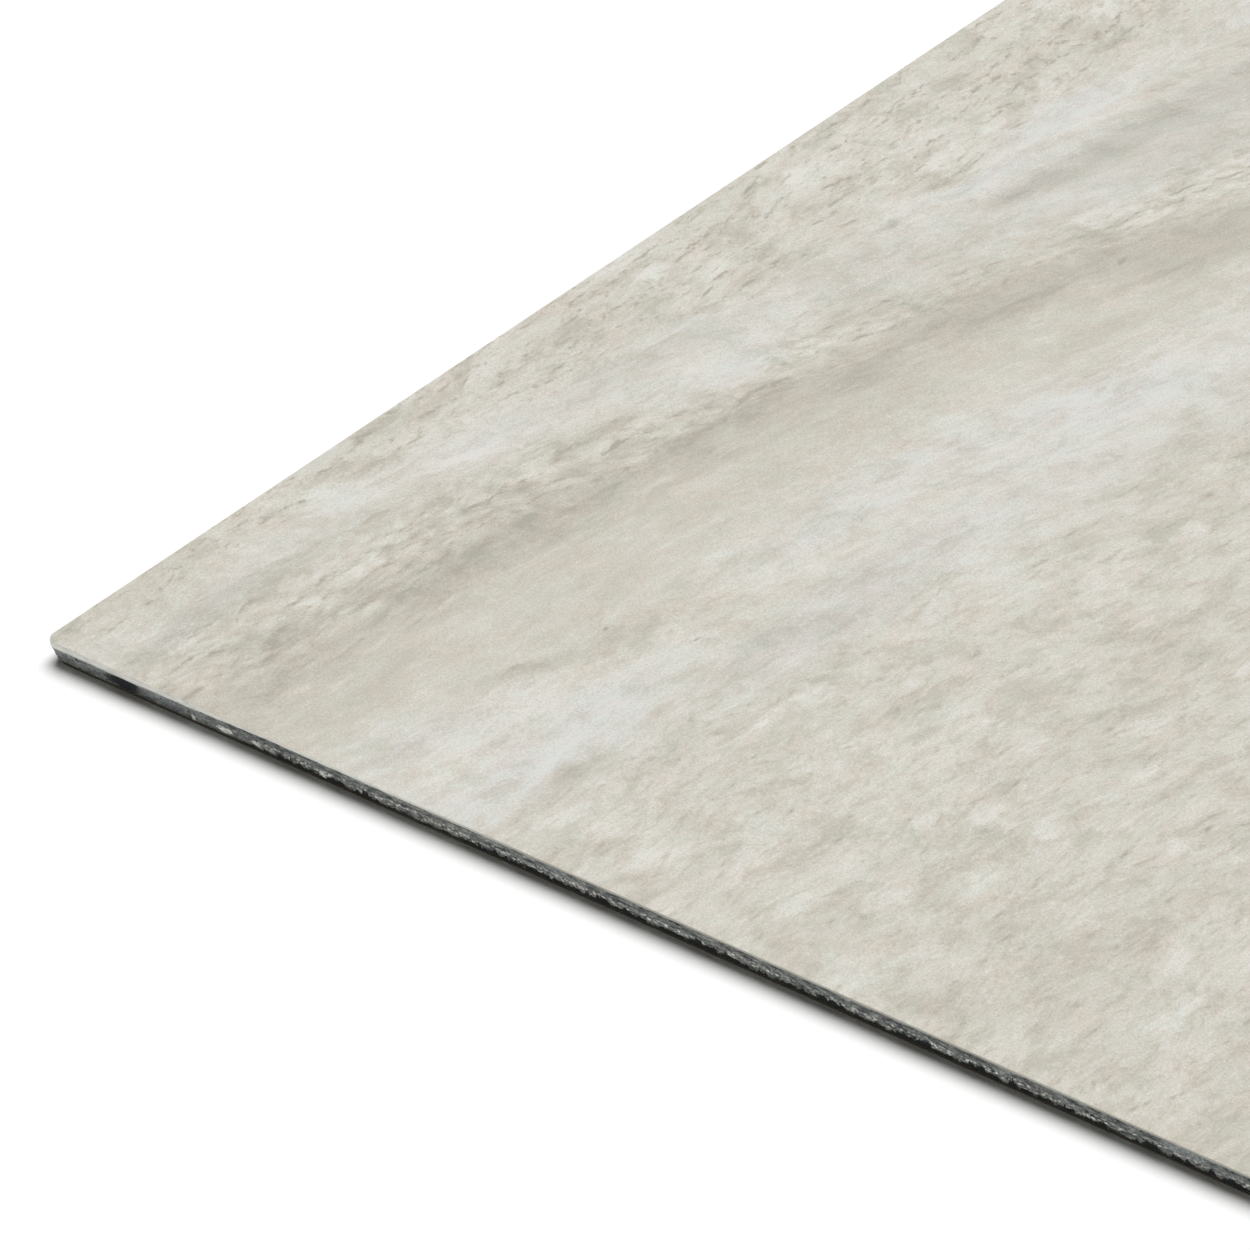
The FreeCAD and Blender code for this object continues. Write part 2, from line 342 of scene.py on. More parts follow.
def print_places(tree):
    """The coordinates that the print's patterns share, in millimetres from the photographed corner.

    plain is the place itself, and along is how far up the tile it is, from 0 to 1. frayed is the place moved
    about by noise, with across and up as its parts. leaning is 1 where the beds lean and 0 where they stand
    upright, and bedded is the frayed place without that lean, for noise that follows the beds. ragged is
    such a noise, for the rims of veins and streaks.
    """
    object_place = add(tree, "ShaderNodeTexCoord").outputs["Object"]
    corner = (-PHOTO_CORNER[0], -PHOTO_CORNER[1], 0)
    plain = add(
        tree,
        "ShaderNodeVectorMath",
        {0: object_place, 1: (1 / MM,) * 3, 2: corner},
        operation="MULTIPLY_ADD",
    )
    up_tile = add(tree, "ShaderNodeSeparateXYZ", {0: plain}).outputs["Y"]
    along = add(tree, "ShaderNodeMath", {0: up_tile, 1: TILE_LENGTH}, operation="DIVIDE")

    frayed = plain
    for size, reach in FRAYS:
        squeezed = add(
            tree, "ShaderNodeVectorMath", {0: plain, 1: [1 / mm for mm in size]}, operation="MULTIPLY"
        )
        swirl = add(tree, "ShaderNodeTexNoise", {"Vector": squeezed, "Scale": 1.0, "Detail": 2.0})
        centred = add(
            tree,
            "ShaderNodeVectorMath",
            {0: swirl.outputs["Color"], 1: (0.5, 0.5, 0.5)},
            operation="SUBTRACT",
        )
        frayed = add(
            tree,
            "ShaderNodeVectorMath",
            {0: centred, 1: [2 * mm for mm in reach], 2: frayed},
            operation="MULTIPLY_ADD",
        )
    across, up = add(tree, "ShaderNodeSeparateXYZ", {0: frayed}).outputs[:2]

    lean = add(tree, "ShaderNodeFloatCurve", {"Value": along})
    shape_curve(lean.mapping.curves[0], [(y / TILE_LENGTH, x / LEAN_RANGE) for y, x in BED_LEAN])
    border = add(tree, "ShaderNodeFloatCurve", {"Value": along})
    shape_curve(border.mapping.curves[0], [(y / TILE_LENGTH, x / LEAN_RANGE) for y, x in UPRIGHT_BORDER])
    past_border = add(
        tree, "ShaderNodeMath", {0: border, 1: -LEAN_RANGE, 2: across}, operation="MULTIPLY_ADD"
    )
    leaning = add(tree, "ShaderNodeMath", {0: past_border, 1: 0.0}, operation="GREATER_THAN")
    lean_here = add(tree, "ShaderNodeMath", {0: lean, 1: leaning}, operation="MULTIPLY")
    lean_here = add(tree, "ShaderNodeMath", {0: lean_here, 1: -LEAN_RANGE}, operation="MULTIPLY")
    back_upright = add(tree, "ShaderNodeCombineXYZ", {"X": lean_here})
    bedded = add(tree, "ShaderNodeVectorMath", {0: frayed, 1: back_upright}, operation="ADD")

    at = SimpleNamespace(
        plain=plain, along=along, frayed=frayed, across=across, up=up, leaning=leaning, bedded=bedded
    )
    at.ragged = beds(tree, at, 1.1, 8.0, detail=4.0, roughness=0.7)
    return at


def vein(tree, at, points, softness):
    """How strongly a vein shows: 1 in its middle, fading out about its half width."""
    raggedness = 2.2
    along = add(tree, "ShaderNodeCombineXYZ", {0: at.along, 1: at.along, 2: at.along})
    course = add(tree, "ShaderNodeRGBCurve", {"Color": along})
    curves = course.mapping.curves
    shape_curve(curves[0], [(y / TILE_LENGTH, x / TILE_WIDTH) for y, x, _, _ in points])
    shape_curve(curves[1], [(y / TILE_LENGTH, width / WIDEST_VEIN) for y, _, width, _ in points])
    shape_curve(curves[2], [(y / TILE_LENGTH, strength) for y, _, _, strength in points])
    middle, half_width, strength = add(tree, "ShaderNodeSeparateColor", {0: course}).outputs
    offset = add(
        tree, "ShaderNodeMath", {0: middle, 1: -TILE_WIDTH, 2: at.across}, operation="MULTIPLY_ADD"
    )
    distance = add(tree, "ShaderNodeMath", {0: offset}, operation="ABSOLUTE")
    half_width = add(tree, "ShaderNodeMath", {0: half_width, 1: WIDEST_VEIN}, operation="MULTIPLY")
    relative = add(tree, "ShaderNodeMath", {0: distance, 1: half_width}, operation="DIVIDE")
    uneven = add(
        tree, "ShaderNodeMath", {0: at.ragged, 1: raggedness, 2: relative}, operation="MULTIPLY_ADD"
    )
    shown = add(
        tree,
        "ShaderNodeMapRange",
        {"Value": uneven, "From Min": 1 + softness, "From Max": 1 - softness, "To Min": 0, "To Max": 1},
        interpolation_type="SMOOTHSTEP",
    )
    return add(tree, "ShaderNodeMath", {0: shown, 1: strength}, operation="MULTIPLY")


def strongest(tree, *shares):
    """The highest of several shares."""
    top = shares[0]
    for share in shares[1:]:
        top = add(tree, "ShaderNodeMath", {0: top, 1: share}, operation="MAXIMUM")
    return top


def print_zones(tree, at):
    """How strongly each kind of stone shows in the print, from 0 to 1."""
    white = strongest(
        tree,
        vein(tree, at, WHITE_VEIN_LEFT, 0.6),
        vein(tree, at, WHITE_VEIN_MAIN, 0.55),
        vein(tree, at, WHITE_VEIN_FAR, 0.7),
        vein(tree, at, WHITE_VEIN_RIGHT, 0.7),
    )
    skirt = vein(tree, at, WHITE_SKIRT_LEFT, 0.9)
    smooth = strongest(tree, vein(tree, at, SMOOTH_ZONE, 0.6), white, skirt)
    return SimpleNamespace(
        white=white,
        skirt=skirt,
        blue=strongest(tree, vein(tree, at, BLUE_VEIN_LEFT, 0.7), vein(tree, at, BLUE_VEIN_FAR, 0.7)),
        blue_shade=vein(tree, at, BLUE_SHADE_MAIN, 0.8),
        taupe=strongest(tree, vein(tree, at, TAUPE_BAND, 0.8), vein(tree, at, TAUPE_BAND_FAR, 0.8)),
        pebbly=vein(tree, at, PEBBLE_BAND, 0.7),
        rough=add(tree, "ShaderNodeMath", {0: 1.0, 1: smooth}, operation="SUBTRACT"),
    )


def cleft_stone(tree, at, zones, mottle, tone):
    """Puts on pale scales of 2 to 5 mm, and ragged clefts along the beds, as if lit from one side.

    The shade is the rise of a slow noise from the left of the spot to its right. It gives the new tone, and
    how far the spot is in a cleft, from 0 to 1.
    """
    across_scale, along_scale, detail, roughness = 1.8, 4.4, 4.0, 0.7
    half_step = 0.2
    right_side = beds(tree, at, across_scale, along_scale, detail, roughness, to_right=half_step)
    left_side = beds(tree, at, across_scale, along_scale, detail, roughness, to_right=-half_step)
    rise = add(tree, "ShaderNodeMath", {0: right_side, 1: left_side}, operation="SUBTRACT")
    scales = add(
        tree,
        "ShaderNodeMapRange",
        {"Value": mottle, "From Min": -0.16, "From Max": 0.04, "To Min": -9, "To Max": 3},
        interpolation_type="SMOOTHSTEP",
    )

    # The upright beds and the pebbly band are more deeply cleft than the rest.
    upright_beds = add(tree, "ShaderNodeMath", {0: 1.0, 1: at.leaning}, operation="SUBTRACT")
    craggy = strongest(tree, upright_beds, zones.pebbly)
    deeper = add(tree, "ShaderNodeMath", {0: craggy, 1: 0.35, 2: 1.0}, operation="MULTIPLY_ADD")
    steep = add(tree, "ShaderNodeMath", {0: rise, 1: deeper}, operation="MULTIPLY")
    cleft = add(
        tree,
        "ShaderNodeMapRange",
        {"Value": steep, "From Min": 0.05, "From Max": 0.28, "To Min": 0, "To Max": 1},
        interpolation_type="SMOOTHSTEP",
    )
    cleft = add(tree, "ShaderNodeMath", {0: cleft, 1: zones.rough}, operation="MULTIPLY")
    scales = add(tree, "ShaderNodeMath", {0: scales, 1: deeper}, operation="MULTIPLY")
    relief_tone = add(tree, "ShaderNodeMath", {0: rise, 1: -25.0, 2: scales}, operation="MULTIPLY_ADD")
    scaly_white = add(tree, "ShaderNodeMath", {0: zones.white, 1: 0.6}, operation="MULTIPLY")
    scaly = strongest(tree, scaly_white, zones.rough)
    tone = add(tree, "ShaderNodeMath", {0: relief_tone, 1: scaly, 2: tone}, operation="MULTIPLY_ADD")
    cleft_steps = add(tree, "ShaderNodeMath", {0: craggy, 1: -13.0, 2: -25.0}, operation="MULTIPLY_ADD")
    tone = add(tree, "ShaderNodeMath", {0: cleft, 1: cleft_steps, 2: tone}, operation="MULTIPLY_ADD")
    return tone, cleft


def pale_eyes(tree, at, zones, tone):
    """Puts soft pale eyes of about 2 by 3.5 mm among the scales, in every second or third cell."""
    cell_x, cell_y = 4.2, 7.0
    brightest = 10.0
    squeeze = (1 / cell_x, 1 / cell_y, 1)
    place = add(tree, "ShaderNodeVectorMath", {0: at.bedded, 1: squeeze}, operation="MULTIPLY")
    eyes = add(tree, "ShaderNodeTexVoronoi", {"Vector": place, "Scale": 1.0}, voronoi_dimensions="2D")
    eye = add(
        tree,
        "ShaderNodeMapRange",
        {"Value": eyes.outputs["Distance"], "From Min": 0.42, "From Max": 0.08, "To Min": 0, "To Max": 1},
        interpolation_type="SMOOTHSTEP",
    )
    chance = add(tree, "ShaderNodeSeparateColor", {0: eyes.outputs["Color"]})
    picked = add(
        tree,
        "ShaderNodeMapRange",
        {"Value": chance, "From Min": 0.5, "From Max": 0.75, "To Min": 0, "To Max": brightest},
    )
    eye = add(tree, "ShaderNodeMath", {0: eye, 1: picked}, operation="MULTIPLY")
    return add(tree, "ShaderNodeMath", {0: eye, 1: zones.rough, 2: tone}, operation="MULTIPLY_ADD")


def pebbles(tree, at, zones, tone):
    """Puts on pebbles of about 1.2 by 2 mm, pale in the middle and dark between, most in their band."""
    pebble_x, pebble_y = 1.2, 2.0
    squeeze = (1 / pebble_x, 1 / pebble_y, 1)
    place = add(tree, "ShaderNodeVectorMath", {0: at.bedded, 1: squeeze}, operation="MULTIPLY")
    cells = add(
        tree,
        "ShaderNodeTexVoronoi",
        {"Vector": place, "Scale": 1.0, "Smoothness": 0.35},
        feature="SMOOTH_F1",
        voronoi_dimensions="2D",
    )
    middle = add(
        tree,
        "ShaderNodeMapRange",
        {
            "Value": cells.outputs["Distance"],
            "From Min": 0.2,
            "From Max": 0.65,
            "To Min": 0.5,
            "To Max": -0.5,
        },
    )
    steps = add(tree, "ShaderNodeMath", {0: zones.pebbly, 1: 10.0, 2: 3.0}, operation="MULTIPLY_ADD")
    steps = add(tree, "ShaderNodeMath", {0: steps, 1: zones.rough}, operation="MULTIPLY")
    return add(tree, "ShaderNodeMath", {0: middle, 1: steps, 2: tone}, operation="MULTIPLY_ADD")


def streaks_and_marks(tree, at, tone):
    """Puts on the single streaks, which fade out at both sides and ends, and the round marks."""
    for x0, y0, x1, y1, half_width, steps in STREAKS:
        t = add(
            tree,
            "ShaderNodeMapRange",
            {"Value": at.up, "From Min": y0, "From Max": y1, "To Min": 0, "To Max": 1},
        )
        middle = add(tree, "ShaderNodeMath", {0: t, 1: x0 - x1, 2: -x0}, operation="MULTIPLY_ADD")
        offset = add(tree, "ShaderNodeMath", {0: at.across, 1: middle}, operation="ADD")
        offset = add(
            tree, "ShaderNodeMath", {0: at.ragged, 1: 3 * half_width, 2: offset}, operation="MULTIPLY_ADD"
        )
        offset = add(tree, "ShaderNodeMath", {0: offset}, operation="ABSOLUTE")
        from_half_way = add(tree, "ShaderNodeMath", {0: t, 1: 0.5}, operation="SUBTRACT")
        from_half_way = add(tree, "ShaderNodeMath", {0: from_half_way}, operation="ABSOLUTE")
        taper = add(tree, "ShaderNodeMath", {0: from_half_way, 1: -2.0, 2: 1.0}, operation="MULTIPLY_ADD")
        shade = add(
            tree,
            "ShaderNodeMapRange",
            {"Value": offset, "From Min": 2 * half_width, "From Max": 0, "To Min": 0, "To Max": 2 * steps},
            interpolation_type="SMOOTHSTEP",
        )
        tone = add(tree, "ShaderNodeMath", {0: shade, 1: taper, 2: tone}, operation="MULTIPLY_ADD")

    # A mark is twice as long up the tile as across it.
    for x, y, radius, steps in MARKS:
        away = add(tree, "ShaderNodeVectorMath", {0: at.frayed, 1: (-x, -y, 0)}, operation="ADD")
        away = add(tree, "ShaderNodeVectorMath", {0: away, 1: (1.0, 0.5, 0.0)}, operation="MULTIPLY")
        distance = add(tree, "ShaderNodeVectorMath", {0: away}, operation="LENGTH").outputs["Value"]
        shade = add(
            tree,
            "ShaderNodeMapRange",
            {"Value": distance, "From Min": 1.7 * radius, "From Max": 0, "To Min": 0, "To Max": steps},
            interpolation_type="SMOOTHSTEP",
        )
        tone = add(tree, "ShaderNodeMath", {0: shade, 1: tone}, operation="ADD")
    return tone


def ink_colour(tree, tone):
    """The colour of the ink at each tone."""
    darkest, palest = INK_LEVELS[0][0], INK_LEVELS[-1][0]
    share = add(
        tree,
        "ShaderNodeMapRange",
        {"Value": tone, "From Min": darkest, "From Max": palest, "To Min": 0, "To Max": 1},
    )
    inks = add(tree, "ShaderNodeValToRGB", {0: share})
    shape_ramp(
        inks.color_ramp,
        [((level - darkest) / (palest - darkest), linear(colour)) for level, colour in INK_LEVELS],
    )
    return inks


def tinted_inks(tree, at, zones, cleft, drifts, inks):
    """The inks with faint tints over them: moss and rose in patches of a few mm, and blue in its veins."""
    moss, rose, pale_blue = linear("fcfdfb"), linear("fffaf8"), linear("f9fbff")
    hue = beds(tree, at, 3.0, 5.0, detail=4.0, roughness=0.8)
    hue = add(tree, "ShaderNodeMath", {0: zones.taupe, 1: 0.02, 2: hue}, operation="MULTIPLY_ADD")
    hue = add(tree, "ShaderNodeMath", {0: cleft, 1: 0.15, 2: hue}, operation="MULTIPLY_ADD")
    rose_share = add(
        tree,
        "ShaderNodeMapRange",
        {"Value": hue, "From Min": -0.1, "From Max": 0.1, "To Min": 0, "To Max": 1},
    )
    tint = add(tree, "ShaderNodeMix", {"Factor": rose_share, "A": moss, "B": rose}, data_type="RGBA")
    tinted = add(
        tree,
        "ShaderNodeMix",
        {"Factor": 1.0, "A": inks, "B": tint.outputs["Result"]},
        data_type="RGBA",
        blend_type="MULTIPLY",
    )
    cool_patches = add(
        tree,
        "ShaderNodeMapRange",
        {"Value": drifts, "From Min": -0.08, "From Max": 0.12, "To Min": 0, "To Max": 1.1},
    )
    cool_white = add(tree, "ShaderNodeMath", {0: zones.white, 1: cool_patches}, operation="MULTIPLY")
    blue_share = strongest(tree, zones.blue, zones.blue_shade, zones.skirt, cool_white)
    return add(
        tree,
        "ShaderNodeMix",
        {"Factor": blue_share, "A": tinted.outputs["Result"], "B": pale_blue},
        data_type="RGBA",
        blend_type="MULTIPLY",
    ).outputs["Result"]


def printed_vinyl_film():
    """Matt embossed PVC wear coat over a printed film, pressed on a plate.

    To the eye it is dry and even, with soft cream and grey veins under a fine grain that only shows in
    raking light, and no gloss.
    """
    material, tree = new_material("printed_vinyl_film")
    at = print_places(tree)
    zones = print_zones(tree, at)

    tone = BARE_TONE
    for zone, steps in (
        (zones.white, 11.0),
        (zones.skirt, 4.0),
        (zones.blue, -10.0),
        (zones.blue_shade, -4.0),
        (zones.taupe, -17.0),
        (zones.pebbly, -2.0),
    ):
        tone = add(tree, "ShaderNodeMath", {0: zone, 1: steps, 2: tone}, operation="MULTIPLY_ADD")

    # Mottling in patches from 9 mm wide down to 0.4 mm, with how many steps it moves the tone where the
    # print is smooth and where it is rough.
    drifts = beds(tree, at, 9.0, 22.0, detail=1.0, roughness=0.5)
    mottle = beds(tree, at, 3.2, 6.0, detail=5.0, roughness=0.72)
    wisps = beds(tree, at, 1.5, 16.0, detail=3.0, roughness=0.7)
    flecks = beds(tree, at, 0.4, 1.1, detail=2.0, roughness=0.7)
    for pattern, smooth_steps, rough_steps in (
        (drifts, 24.0, 24.0),
        (mottle, 42.0, 30.0),
        (wisps, 22.0, 6.0),
        (flecks, 20.0, 28.0),
    ):
        steps = add(
            tree,
            "ShaderNodeMapRange",
            {
                "Value": zones.rough,
                "From Min": 0,
                "From Max": 1,
                "To Min": smooth_steps,
                "To Max": rough_steps,
            },
        )
        tone = add(tree, "ShaderNodeMath", {0: pattern, 1: steps, 2: tone}, operation="MULTIPLY_ADD")

    tone, cleft = cleft_stone(tree, at, zones, mottle, tone)
    tone = pale_eyes(tree, at, zones, tone)
    tone = pebbles(tree, at, zones, tone)
    tone = streaks_and_marks(tree, at, tone)

    # The emboss's grain. The real one is finer, and this is drawn coarse enough to show: each grain is some
    # 0.17 mm across and 0.22 mm long.
    grains_per_mm = (6.0, 4.5, 6.0)
    grain_place = add(tree, "ShaderNodeVectorMath", {0: at.plain, 1: grains_per_mm}, operation="MULTIPLY")
    grain = add(tree, "ShaderNodeTexNoise", {"Vector": grain_place, "Scale": 1.0, "Detail": 1.0})
    grain = add(tree, "ShaderNodeMath", {0: grain, 1: 0.5}, operation="SUBTRACT")
    tone = add(tree, "ShaderNodeMath", {0: grain, 1: 42.0, 2: tone}, operation="MULTIPLY_ADD")
    printed = tinted_inks(tree, at, zones, cleft, drifts, ink_colour(tree, tone))

    # Its heights in millimetres: lumps of some 2 by 4 mm that the plate presses without regard to the print,
    # and the grain.
    lump_x, lump_y, lump_height, grain_height = 2.0, 4.0, 0.05, 0.014
    lump_place = add(
        tree, "ShaderNodeVectorMath", {0: at.plain, 1: (1 / lump_x, 1 / lump_y, 1)}, operation="MULTIPLY"
    )
    lumps = add(
        tree, "ShaderNodeTexNoise", {"Vector": lump_place, "Scale": 1.0, "Detail": 3.0, "Roughness": 0.7}
    )
    relief = add(tree, "ShaderNodeMath", {0: lumps, 1: lump_height}, operation="MULTIPLY")
    relief = add(tree, "ShaderNodeMath", {0: grain, 1: grain_height, 2: relief}, operation="MULTIPLY_ADD")
    bump = add(tree, "ShaderNodeBump", {"Height": relief, "Strength": 1.0, "Distance": MM})
    shader = add(
        tree,
        "ShaderNodeBsdfPrincipled",
        {
            "Base Color": printed,
            "Roughness": 0.6,
            "IOR": 1.5,
            "Specular IOR Level": 0.3,
            "Normal": bump,
        },
    )
    add(tree, "ShaderNodeOutputMaterial", {"Surface": shader})
    return material


def cut_film_edge():
    """The film and its clear coat seen on edge: milky PVC, burnished a little where the die drew it down.

    To the eye it is a thin pale line along the tile's upper edge, drawn greyer further along. The die's
    marks are some 1.1 mm long and 0.2 mm high.
    """
    marks_per_mm = (0.9, 0.9, 5.0)
    mark_height = 0.04
    material, tree = new_material("cut_film_edge")
    place = add(tree, "ShaderNodeTexCoord").outputs["Object"]
    mark_place = add(
        tree, "ShaderNodeVectorMath", {0: place, 1: [n / MM for n in marks_per_mm]}, operation="MULTIPLY"
    )
    marks = add(
        tree, "ShaderNodeTexNoise", {"Vector": mark_place, "Scale": 1.0, "Detail": 4.0, "Roughness": 0.7}
    )
    tint = add(tree, "ShaderNodeValToRGB", {0: marks})
    shape_ramp(
        tint.color_ramp, [(0.3, linear("c6c8c6")), (0.5, linear("e2e3df")), (0.7, linear("f2f2ec"))]
    )

    # It is drawn greyer everywhere but by the photographed corner.
    pale_until, grey_from = 34 * MM, 46 * MM
    corner = [-mm * MM for mm in PHOTO_CORNER] + [0]
    from_corner = add(tree, "ShaderNodeVectorMath", {0: place, 1: corner}, operation="ADD")
    distance = add(tree, "ShaderNodeVectorMath", {0: from_corner}, operation="LENGTH").outputs["Value"]
    darkening = add(
        tree,
        "ShaderNodeMapRange",
        {"Value": distance, "From Min": pale_until, "From Max": grey_from, "To Min": 0, "To Max": 0.8},
    )
    greyer_edge = add(tree, "ShaderNodeMix", {"Factor": darkening, "A": tint, "B": linear("a3a197")}, data_type="RGBA")
    bump = add(tree, "ShaderNodeBump", {"Height": marks, "Strength": 1.0, "Distance": mark_height * MM})
    shader = add(
        tree,
        "ShaderNodeBsdfPrincipled",
        {"Base Color": greyer_edge.outputs["Result"], "Roughness": 0.42, "IOR": 1.5, "Normal": bump},
    )
    add(tree, "ShaderNodeOutputMaterial", {"Surface": shader})
    return material


# The largest stones in the cut edge by the photographed corner, on the short side: millimetres in from it
# and up from the floor, half the length and half the height.
EDGE_STONES = [
    (17.8, 0.8, 0.95, 0.26),
    (14.7, 0.55, 0.16, 0.45),
    (21.0, 0.85, 0.4, 0.16),
    (27.4, 0.7, 0.3, 0.4),
]

# The chip beside them, which is drawn near black as painted shade, the same way.
EDGE_CHIP = (7.9, 1.05, 1.6, 0.8)


def edge_lumps(tree, at, size_along, size_up, detail):
    """Noise from 0 to 1 whose lumps have that size in millimetres, along the edge and in height."""
    squeeze = (1 / size_along, 1 / size_along, 1 / size_up)
    squeezed = add(tree, "ShaderNodeVectorMath", {0: at.plain, 1: squeeze}, operation="MULTIPLY")
    return add(
        tree,
        "ShaderNodeTexNoise",
        {"Vector": squeezed, "Scale": 1.0, "Detail": detail, "Roughness": 0.7},
    )


def edge_places(tree):
    """The coordinates that the cut edge's patterns share, in millimetres.

    plain is the place itself, and from_corner the same from the floor under the photographed corner. height
    and distance are how far it is from the floor and from there, and ragged is a noise for rims of patches.
    """
    object_place = add(tree, "ShaderNodeTexCoord").outputs["Object"]
    plain = add(tree, "ShaderNodeVectorMath", {0: object_place, 1: (1 / MM,) * 3}, operation="MULTIPLY")
    corner = (-PHOTO_CORNER[0], -PHOTO_CORNER[1], 0)
    from_corner = add(tree, "ShaderNodeVectorMath", {0: plain, 1: corner}, operation="ADD")
    height = add(tree, "ShaderNodeSeparateXYZ", {0: from_corner}).outputs["Z"]
    distance = add(tree, "ShaderNodeVectorMath", {0: from_corner}, operation="LENGTH").outputs["Value"]
    at = SimpleNamespace(plain=plain, from_corner=from_corner, height=height, distance=distance)
    at.ragged = edge_lumps(tree, at, 0.5, 0.4, detail=3.0)
    return at


def edge_spot(tree, at, spot, fade):
    """1 inside an ellipse on the short side by the photographed corner, 0 outside, with a ragged rim."""
    in_mm, up_mm, half_length, half_height = spot
    depth, raggedness = 3.0, 1.6
    rim = 1 + raggedness / 2
    away = add(tree, "ShaderNodeVectorMath", {0: at.from_corner, 1: (-in_mm, 0, -up_mm)}, operation="ADD")
    squeeze = (1 / half_length, 1 / depth, 1 / half_height)
    away = add(tree, "ShaderNodeVectorMath", {0: away, 1: squeeze}, operation="MULTIPLY")
    distance = add(tree, "ShaderNodeVectorMath", {0: away}, operation="LENGTH").outputs["Value"]
    uneven = add(
        tree, "ShaderNodeMath", {0: at.ragged, 1: raggedness, 2: distance}, operation="MULTIPLY_ADD"
    )
    return add(
        tree,
        "ShaderNodeMapRange",
        {"Value": uneven, "From Min": rim + fade, "From Max": rim - fade, "To Min": 0, "To Max": 1},
        interpolation_type="SMOOTHSTEP",
    )


def pale_grains(tree, at):
    """Where the limestone shows: the largest stones, and a row of grains at half height.

    About every second cell of 0.38 by 0.2 mm holds a grain, and the row starts some way from the corner.
    """
    grain_length, grain_height = 0.38, 0.2
    row_height, row_half = 0.97, 0.46
    squeeze = (1 / grain_length, 1 / grain_length, 1 / grain_height)
    place = add(tree, "ShaderNodeVectorMath", {0: at.plain, 1: squeeze}, operation="MULTIPLY")
    cells = add(tree, "ShaderNodeTexVoronoi", {"Vector": place, "Scale": 1.0})
    shown = add(
        tree,
        "ShaderNodeMapRange",
        {"Value": cells.outputs["Distance"], "From Min": 0.62, "From Max": 0.3, "To Min": 0, "To Max": 1},
        interpolation_type="SMOOTHSTEP",
    )
    chance = add(tree, "ShaderNodeSeparateColor", {0: cells.outputs["Color"]})
    picked = add(
        tree,
        "ShaderNodeMapRange",
        {"Value": chance, "From Min": 0.25, "From Max": 0.55, "To Min": 0, "To Max": 1},
    )
    off_row = add(tree, "ShaderNodeMath", {0: at.height, 1: row_height}, operation="SUBTRACT")
    off_row = add(tree, "ShaderNodeMath", {0: off_row}, operation="ABSOLUTE")
    in_row = add(
        tree,
        "ShaderNodeMapRange",
        {"Value": off_row, "From Min": row_half, "From Max": 0.1, "To Min": 0, "To Max": 1},
        interpolation_type="SMOOTHSTEP",
    )
    stretches = edge_lumps(tree, at, 6.0, 6.0, detail=2.0)
    broken_row = add(
        tree,
        "ShaderNodeMapRange",
        {"Value": stretches, "From Min": 0.34, "From Max": 0.5, "To Min": 0.35, "To Max": 1},
    )
    row_start = add(
        tree,
        "ShaderNodeMapRange",
        {"Value": at.distance, "From Min": 12, "From Max": 30, "To Min": 0.1, "To Max": 1},
    )
    for share in (picked, in_row, broken_row, row_start):
        shown = add(tree, "ShaderNodeMath", {0: shown, 1: share}, operation="MULTIPLY")
    for spot in EDGE_STONES:
        stone = edge_spot(tree, at, spot, fade=0.2)
        stone = add(tree, "ShaderNodeMath", {0: stone, 1: 0.85}, operation="MULTIPLY")
        shown = add(tree, "ShaderNodeMath", {0: shown, 1: stone}, operation="MAXIMUM")
    return shown


def film_smears(tree, at, by_corner):
    """Where the drawn film lies over the core in wisps: by the corner, and here and there elsewhere."""
    stretches = edge_lumps(tree, at, 18.0, 18.0, detail=1.0)
    elsewhere = add(
        tree,
        "ShaderNodeMapRange",
        {"Value": stretches, "From Min": 0.56, "From Max": 0.68, "To Min": 0, "To Max": 0.8},
        interpolation_type="SMOOTHSTEP",
    )
    smear = add(tree, "ShaderNodeMath", {0: by_corner, 1: elsewhere}, operation="MAXIMUM")
    patches = edge_lumps(tree, at, 1.6, 0.7, detail=4.0)
    wisps = add(
        tree,
        "ShaderNodeMapRange",
        {"Value": patches, "From Min": 0.42, "From Max": 0.6, "To Min": 0.0, "To Max": 0.92},
    )
    return add(tree, "ShaderNodeMath", {0: smear, 1: wisps}, operation="MULTIPLY")


